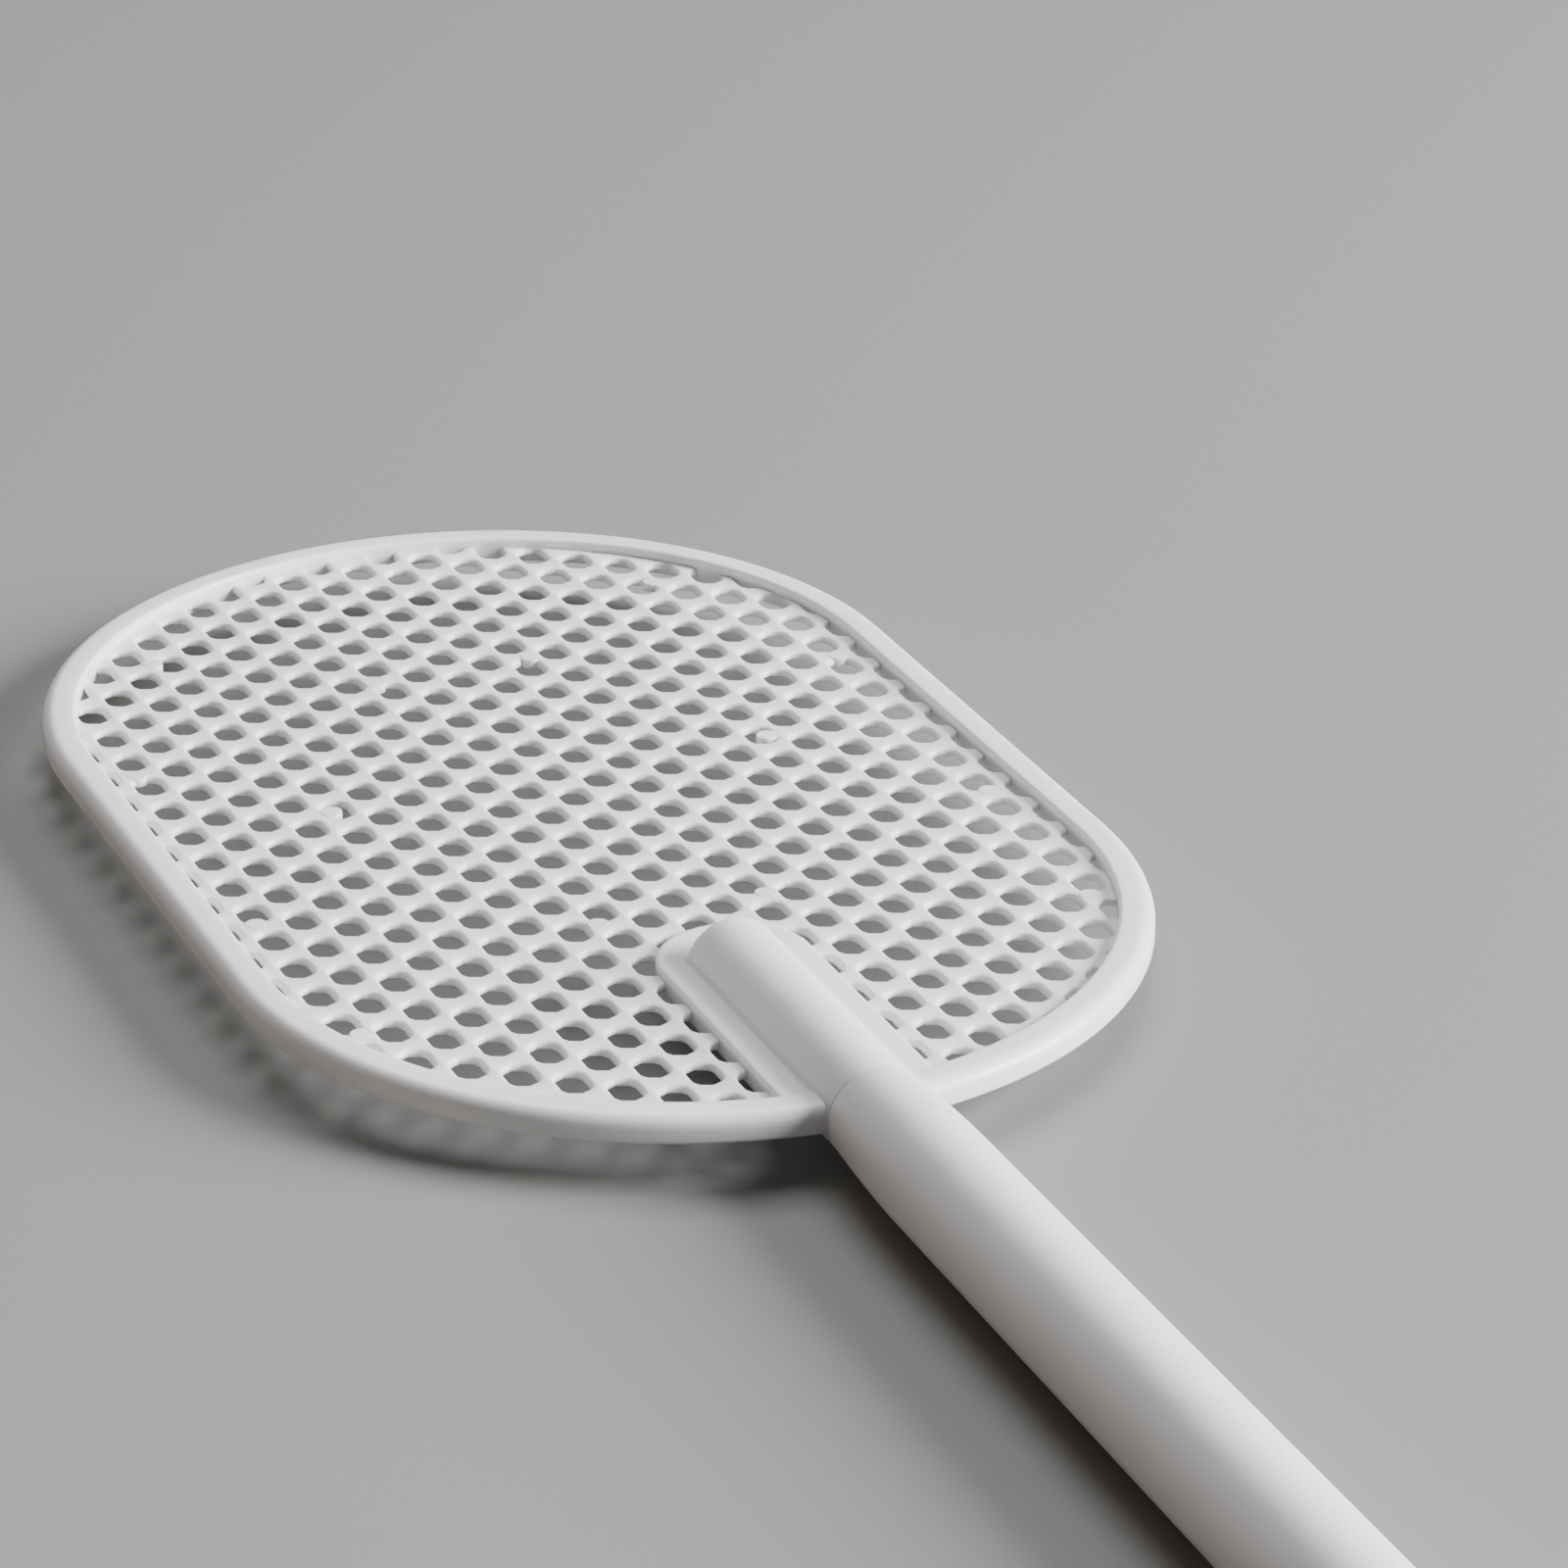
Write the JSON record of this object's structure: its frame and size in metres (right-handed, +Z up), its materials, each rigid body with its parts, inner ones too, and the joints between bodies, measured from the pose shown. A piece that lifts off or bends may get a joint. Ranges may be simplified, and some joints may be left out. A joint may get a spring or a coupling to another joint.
{
  "type": "fly swatter",
  "caption": "White plastic fly swatter: stadium-shaped perforated head in a raised rim, half-round boss on a pad, and a plug-in tubular handle with a hanging eye.",
  "frame": {"origin": "centre of the swatter's footprint, on the table that it lies on", "axes": "+Y along the handle towards the head's tip, +X across the head, +Z up from the table, normal to the perforated sheet"},
  "size_m": [0.102, 0.446, 0.0125],
  "materials": {
    "sheet_plastic": "satin white, softly rounded hole edges",
    "rim_plastic": "satin white",
    "socket_plastic": "satin white",
    "handle_plastic": "satin white",
    "cap_plastic": "satin white"
  },
  "bodies": {
    "head": {"mesh_panel": "sheet_plastic", "rim": "rim_plastic", "handle_socket": "socket_plastic"},
    "handle": {"handle_tube": "handle_plastic"},
    "cap": {"end_cap": "cap_plastic"}
  },
  "joints": [
    {"name": "handle_pull", "type": "slide", "parent": "head", "child": "handle", "axis": [0, -1, 0], "range_m": [0, 0.04]},
    {"name": "cap_pull", "type": "slide", "parent": "handle", "child": "cap", "axis": [0, -1, 0], "range_m": [0, 0.025]}
  ]
}
